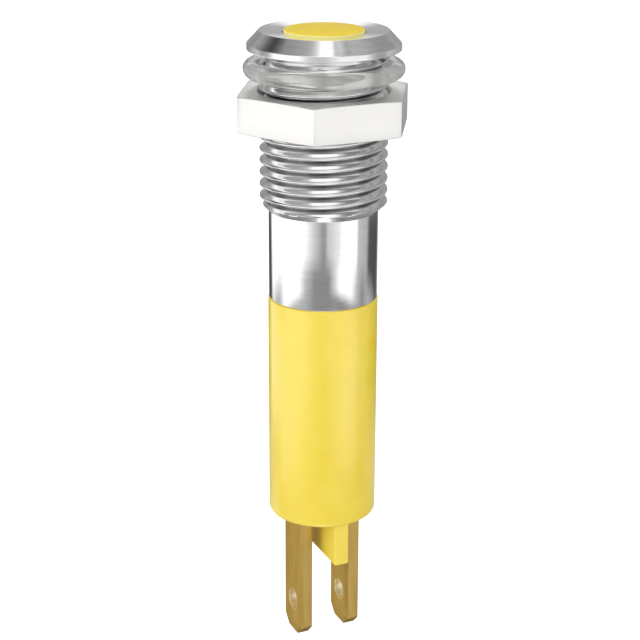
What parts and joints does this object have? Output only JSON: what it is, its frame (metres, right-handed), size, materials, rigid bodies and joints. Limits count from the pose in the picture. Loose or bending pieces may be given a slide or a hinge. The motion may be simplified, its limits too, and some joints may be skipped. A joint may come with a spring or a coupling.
{
  "type": "panel pilot light",
  "caption": "Chromed 8 mm panel pilot light with a flush yellow lens, threaded barrel, rubber ring, hexagon nut, yellow rear housing and brass blade terminals.",
  "frame": {"origin": "centre of the ring-shaped face under the head, which seats on the panel", "axes": "+Z along the barrel, out through the lens; +X across the two blades, so +Y runs along the width of each blade and along the rib"},
  "size_m": [0.0116, 0.01, 0.0408],
  "materials": {
    "chromed_brass": "polished",
    "chromed_nut": "polished",
    "yellow_lens": "gloss",
    "yellow_plastic": "gloss",
    "bare_brass": "satin",
    "clear_rubber": "satin",
    "white_plastic": "matte",
    "clear_epoxy": "gloss",
    "tinned_wire": "satin",
    "board_laminate": "satin",
    "resistor_coat": "satin",
    "diode_glass": "gloss",
    "solder": "satin",
    "black_resin": "satin"
  },
  "bodies": {
    "lamp": {"bezel_housing": "chromed_brass", "lens": "yellow_lens", "led_holder": "white_plastic", "led_body": "clear_epoxy", "led_anode_lead": "tinned_wire", "led_cathode_lead": "tinned_wire", "circuit_board": "board_laminate", "resistor_body": "resistor_coat", "resistor_lead_upper": "tinned_wire", "resistor_lead_lower": "tinned_wire", "diode_body": "diode_glass", "diode_lead_upper": "tinned_wire", "diode_lead_lower": "tinned_wire", "solder_anode": "solder", "solder_cathode": "solder", "solder_resistor_upper": "solder", "solder_resistor_lower": "solder", "solder_diode_upper": "solder", "solder_diode_lower": "solder", "solder_blade_left": "solder", "solder_blade_right": "solder", "blade_left": "bare_brass", "blade_right": "bare_brass", "rear_housing": "yellow_plastic", "potting_resin": "black_resin", "sealing_ring": "clear_rubber"},
    "nut": {"hex_nut": "chromed_nut"}
  },
  "joints": [
    {"name": "nut_travel", "type": "slide", "parent": "lamp", "child": "nut", "axis": [0, 0, 1], "range_m": [-0.00675, 0.00075]}
  ]
}
